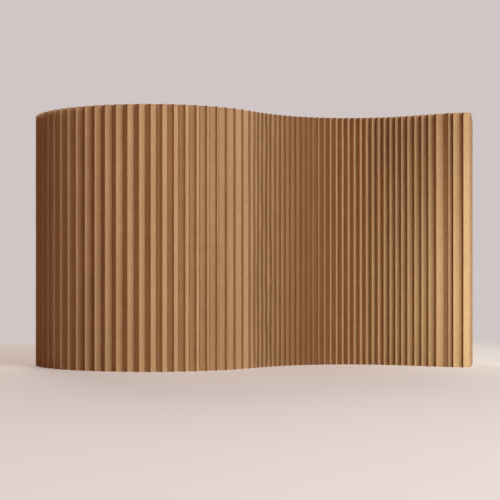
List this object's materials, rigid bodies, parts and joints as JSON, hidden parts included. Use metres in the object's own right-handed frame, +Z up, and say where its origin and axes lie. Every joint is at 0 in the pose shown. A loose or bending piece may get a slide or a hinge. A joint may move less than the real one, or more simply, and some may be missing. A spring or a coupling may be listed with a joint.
{
  "type": "paper room divider",
  "caption": "Free-standing honeycomb paper wall that stands in an S curve between stiff end boards and folds flat like a bellows.",
  "frame": {"origin": "on the floor, under the middle of the wall's bounding box", "axes": "+X to the right along the wall as seen from the front, +Y away from the front, +Z up"},
  "size_m": [2.6756, 1.029, 1.5],
  "materials": {
    "kraft_paper": "matte",
    "end_board": "matte",
    "magnet": "satin"
  },
  "bodies": {
    "left_end": {"end_board_left": "end_board", "magnets_left": "magnet", "block_01_curl": "kraft_paper"},
    "section_02": {"block_02_curl": "kraft_paper"},
    "section_03": {"block_03_curl": "kraft_paper"},
    "section_04": {"block_04_curl": "kraft_paper"},
    "section_05": {"block_05_bulge": "kraft_paper"},
    "section_06": {"block_06_bulge": "kraft_paper"},
    "section_07": {"block_07_bulge": "kraft_paper"},
    "section_08": {"block_08_bulge": "kraft_paper"},
    "section_09": {"block_09_bulge": "kraft_paper"},
    "section_10": {"block_10_bulge": "kraft_paper"},
    "section_11": {"block_11_bulge": "kraft_paper"},
    "section_12": {"block_12_bulge": "kraft_paper"},
    "section_13": {"block_13_bulge": "kraft_paper"},
    "section_14": {"block_14_bulge": "kraft_paper"},
    "section_15": {"block_15_bulge": "kraft_paper"},
    "section_16": {"block_16_valley": "kraft_paper"},
    "section_17": {"block_17_valley": "kraft_paper"},
    "section_18": {"block_18_valley": "kraft_paper"},
    "section_19": {"block_19_valley": "kraft_paper"},
    "section_20": {"block_20_valley": "kraft_paper"},
    "section_21": {"block_21_valley": "kraft_paper"},
    "section_22": {"block_22_valley": "kraft_paper"},
    "section_23": {"block_23_valley": "kraft_paper"},
    "section_24": {"block_24_valley": "kraft_paper"},
    "section_25": {"block_25_valley": "kraft_paper"},
    "section_26": {"block_26_valley": "kraft_paper"},
    "section_27": {"block_27_valley": "kraft_paper"},
    "section_28": {"block_28_valley": "kraft_paper"},
    "section_29": {"block_29_valley": "kraft_paper"},
    "section_30": {"block_30_sweep": "kraft_paper"},
    "section_31": {"block_31_sweep": "kraft_paper"},
    "section_32": {"block_32_flare": "kraft_paper"},
    "section_33": {"block_33_flare": "kraft_paper"},
    "right_end": {"end_board_right": "end_board", "magnets_right": "magnet"}
  },
  "joints": [
    {"name": "fold", "type": "hinge", "parent": "left_end", "child": "section_02", "pos_m": [-0.68229, 0.174, 0], "axis": [0, 0, -1], "range_deg": [0, 11.7], "deforming": ["block_01_curl"]},
    {"name": "fold_02", "type": "hinge", "parent": "section_02", "child": "section_03", "pos_m": [-0.68229, 0.174, 0], "axis": [0, 0, -1], "range_deg": [0, 11.7], "deforming": ["block_02_curl"]},
    {"name": "fold_03", "type": "hinge", "parent": "section_03", "child": "section_04", "pos_m": [-0.68229, 0.174, 0], "axis": [0, 0, -1], "range_deg": [0, 11.7], "deforming": ["block_03_curl"]},
    {"name": "fold_04", "type": "hinge", "parent": "section_04", "child": "section_05", "pos_m": [-0.68229, 0.174, 0], "axis": [0, 0, -1], "range_deg": [0, 11.7], "deforming": ["block_04_curl"]},
    {"name": "fold_05", "type": "hinge", "parent": "section_05", "child": "section_06", "pos_m": [-0.61972, 0.21535, 0], "axis": [0, 0, -1], "range_deg": [0, 10.04], "deforming": ["block_05_bulge"]},
    {"name": "fold_06", "type": "hinge", "parent": "section_06", "child": "section_07", "pos_m": [-0.61972, 0.21535, 0], "axis": [0, 0, -1], "range_deg": [0, 10.04], "deforming": ["block_06_bulge"]},
    {"name": "fold_07", "type": "hinge", "parent": "section_07", "child": "section_08", "pos_m": [-0.61972, 0.21535, 0], "axis": [0, 0, -1], "range_deg": [0, 10.04], "deforming": ["block_07_bulge"]},
    {"name": "fold_08", "type": "hinge", "parent": "section_08", "child": "section_09", "pos_m": [-0.61972, 0.21535, 0], "axis": [0, 0, -1], "range_deg": [0, 10.04], "deforming": ["block_08_bulge"]},
    {"name": "fold_09", "type": "hinge", "parent": "section_09", "child": "section_10", "pos_m": [-0.61972, 0.21535, 0], "axis": [0, 0, -1], "range_deg": [0, 10.04], "deforming": ["block_09_bulge"]},
    {"name": "fold_10", "type": "hinge", "parent": "section_10", "child": "section_11", "pos_m": [-0.61972, 0.21535, 0], "axis": [0, 0, -1], "range_deg": [0, 10.04], "deforming": ["block_10_bulge"]},
    {"name": "fold_11", "type": "hinge", "parent": "section_11", "child": "section_12", "pos_m": [-0.61972, 0.21535, 0], "axis": [0, 0, -1], "range_deg": [0, 10.04], "deforming": ["block_11_bulge"]},
    {"name": "fold_12", "type": "hinge", "parent": "section_12", "child": "section_13", "pos_m": [-0.61972, 0.21535, 0], "axis": [0, 0, -1], "range_deg": [0, 10.04], "deforming": ["block_12_bulge"]},
    {"name": "fold_13", "type": "hinge", "parent": "section_13", "child": "section_14", "pos_m": [-0.61972, 0.21535, 0], "axis": [0, 0, -1], "range_deg": [0, 10.04], "deforming": ["block_13_bulge"]},
    {"name": "fold_14", "type": "hinge", "parent": "section_14", "child": "section_15", "pos_m": [-0.61972, 0.21535, 0], "axis": [0, 0, -1], "range_deg": [0, 10.04], "deforming": ["block_14_bulge"]},
    {"name": "fold_15", "type": "hinge", "parent": "section_15", "child": "section_16", "pos_m": [-0.61972, 0.21535, 0], "axis": [0, 0, -1], "range_deg": [0, 10.04], "deforming": ["block_15_bulge"]},
    {"name": "fold_16", "type": "hinge", "parent": "section_16", "child": "section_17", "pos_m": [0.55199, -0.57079, 0], "axis": [0, 0, 1], "range_deg": [0, 6], "deforming": ["block_16_valley"]},
    {"name": "fold_17", "type": "hinge", "parent": "section_17", "child": "section_18", "pos_m": [0.55199, -0.57079, 0], "axis": [0, 0, 1], "range_deg": [0, 6], "deforming": ["block_17_valley"]},
    {"name": "fold_18", "type": "hinge", "parent": "section_18", "child": "section_19", "pos_m": [0.55199, -0.57079, 0], "axis": [0, 0, 1], "range_deg": [0, 6], "deforming": ["block_18_valley"]},
    {"name": "fold_19", "type": "hinge", "parent": "section_19", "child": "section_20", "pos_m": [0.55199, -0.57079, 0], "axis": [0, 0, 1], "range_deg": [0, 6], "deforming": ["block_19_valley"]},
    {"name": "fold_20", "type": "hinge", "parent": "section_20", "child": "section_21", "pos_m": [0.55199, -0.57079, 0], "axis": [0, 0, 1], "range_deg": [0, 6], "deforming": ["block_20_valley"]},
    {"name": "fold_21", "type": "hinge", "parent": "section_21", "child": "section_22", "pos_m": [0.55199, -0.57079, 0], "axis": [0, 0, 1], "range_deg": [0, 6], "deforming": ["block_21_valley"]},
    {"name": "fold_22", "type": "hinge", "parent": "section_22", "child": "section_23", "pos_m": [0.55199, -0.57079, 0], "axis": [0, 0, 1], "range_deg": [0, 6], "deforming": ["block_22_valley"]},
    {"name": "fold_23", "type": "hinge", "parent": "section_23", "child": "section_24", "pos_m": [0.55199, -0.57079, 0], "axis": [0, 0, 1], "range_deg": [0, 6], "deforming": ["block_23_valley"]},
    {"name": "fold_24", "type": "hinge", "parent": "section_24", "child": "section_25", "pos_m": [0.55199, -0.57079, 0], "axis": [0, 0, 1], "range_deg": [0, 6], "deforming": ["block_24_valley"]},
    {"name": "fold_25", "type": "hinge", "parent": "section_25", "child": "section_26", "pos_m": [0.55199, -0.57079, 0], "axis": [0, 0, 1], "range_deg": [0, 6], "deforming": ["block_25_valley"]},
    {"name": "fold_26", "type": "hinge", "parent": "section_26", "child": "section_27", "pos_m": [0.55199, -0.57079, 0], "axis": [0, 0, 1], "range_deg": [0, 6], "deforming": ["block_26_valley"]},
    {"name": "fold_27", "type": "hinge", "parent": "section_27", "child": "section_28", "pos_m": [0.55199, -0.57079, 0], "axis": [0, 0, 1], "range_deg": [0, 6], "deforming": ["block_27_valley"]},
    {"name": "fold_28", "type": "hinge", "parent": "section_28", "child": "section_29", "pos_m": [0.55199, -0.57079, 0], "axis": [0, 0, 1], "range_deg": [0, 6], "deforming": ["block_28_valley"]},
    {"name": "fold_29", "type": "hinge", "parent": "section_29", "child": "section_30", "pos_m": [0.55199, -0.57079, 0], "axis": [0, 0, 1], "range_deg": [0, 6], "deforming": ["block_29_valley"]},
    {"name": "fold_30", "type": "hinge", "parent": "section_30", "child": "section_31", "pos_m": [-1.23541, -3.7153, 0], "axis": [0, 0, 1], "range_deg": [0, 1.18], "deforming": ["block_30_sweep"]},
    {"name": "fold_31", "type": "hinge", "parent": "section_31", "child": "section_32", "pos_m": [-1.23541, -3.7153, 0], "axis": [0, 0, 1], "range_deg": [0, 1.18], "deforming": ["block_31_sweep"]},
    {"name": "fold_32", "type": "hinge", "parent": "section_32", "child": "section_33", "pos_m": [1.37845, 0.46473, 0], "axis": [0, 0, -1], "range_deg": [0, 9.92], "deforming": ["block_32_flare"]},
    {"name": "fold_33", "type": "hinge", "parent": "section_33", "child": "right_end", "pos_m": [1.37845, 0.46473, 0], "axis": [0, 0, -1], "range_deg": [0, 9.92], "deforming": ["block_33_flare"]}
  ],
  "couplings": [
    {"joint": "fold_02", "follows": "fold", "ratio": 1},
    {"joint": "fold_03", "follows": "fold", "ratio": 1},
    {"joint": "fold_04", "follows": "fold", "ratio": 1},
    {"joint": "fold_05", "follows": "fold", "ratio": 0.85795},
    {"joint": "fold_06", "follows": "fold", "ratio": 0.85795},
    {"joint": "fold_07", "follows": "fold", "ratio": 0.85795},
    {"joint": "fold_08", "follows": "fold", "ratio": 0.85795},
    {"joint": "fold_09", "follows": "fold", "ratio": 0.85795},
    {"joint": "fold_10", "follows": "fold", "ratio": 0.85795},
    {"joint": "fold_11", "follows": "fold", "ratio": 0.85795},
    {"joint": "fold_12", "follows": "fold", "ratio": 0.85795},
    {"joint": "fold_13", "follows": "fold", "ratio": 0.85795},
    {"joint": "fold_14", "follows": "fold", "ratio": 0.85795},
    {"joint": "fold_15", "follows": "fold", "ratio": 0.85795},
    {"joint": "fold_16", "follows": "fold", "ratio": 0.51302},
    {"joint": "fold_17", "follows": "fold", "ratio": 0.51302},
    {"joint": "fold_18", "follows": "fold", "ratio": 0.51302},
    {"joint": "fold_19", "follows": "fold", "ratio": 0.51302},
    {"joint": "fold_20", "follows": "fold", "ratio": 0.51302},
    {"joint": "fold_21", "follows": "fold", "ratio": 0.51302},
    {"joint": "fold_22", "follows": "fold", "ratio": 0.51302},
    {"joint": "fold_23", "follows": "fold", "ratio": 0.51302},
    {"joint": "fold_24", "follows": "fold", "ratio": 0.51302},
    {"joint": "fold_25", "follows": "fold", "ratio": 0.51302},
    {"joint": "fold_26", "follows": "fold", "ratio": 0.51302},
    {"joint": "fold_27", "follows": "fold", "ratio": 0.51302},
    {"joint": "fold_28", "follows": "fold", "ratio": 0.51302},
    {"joint": "fold_29", "follows": "fold", "ratio": 0.51302},
    {"joint": "fold_30", "follows": "fold", "ratio": 0.10067},
    {"joint": "fold_31", "follows": "fold", "ratio": 0.10067},
    {"joint": "fold_32", "follows": "fold", "ratio": 0.84815},
    {"joint": "fold_33", "follows": "fold", "ratio": 0.84815}
  ]
}
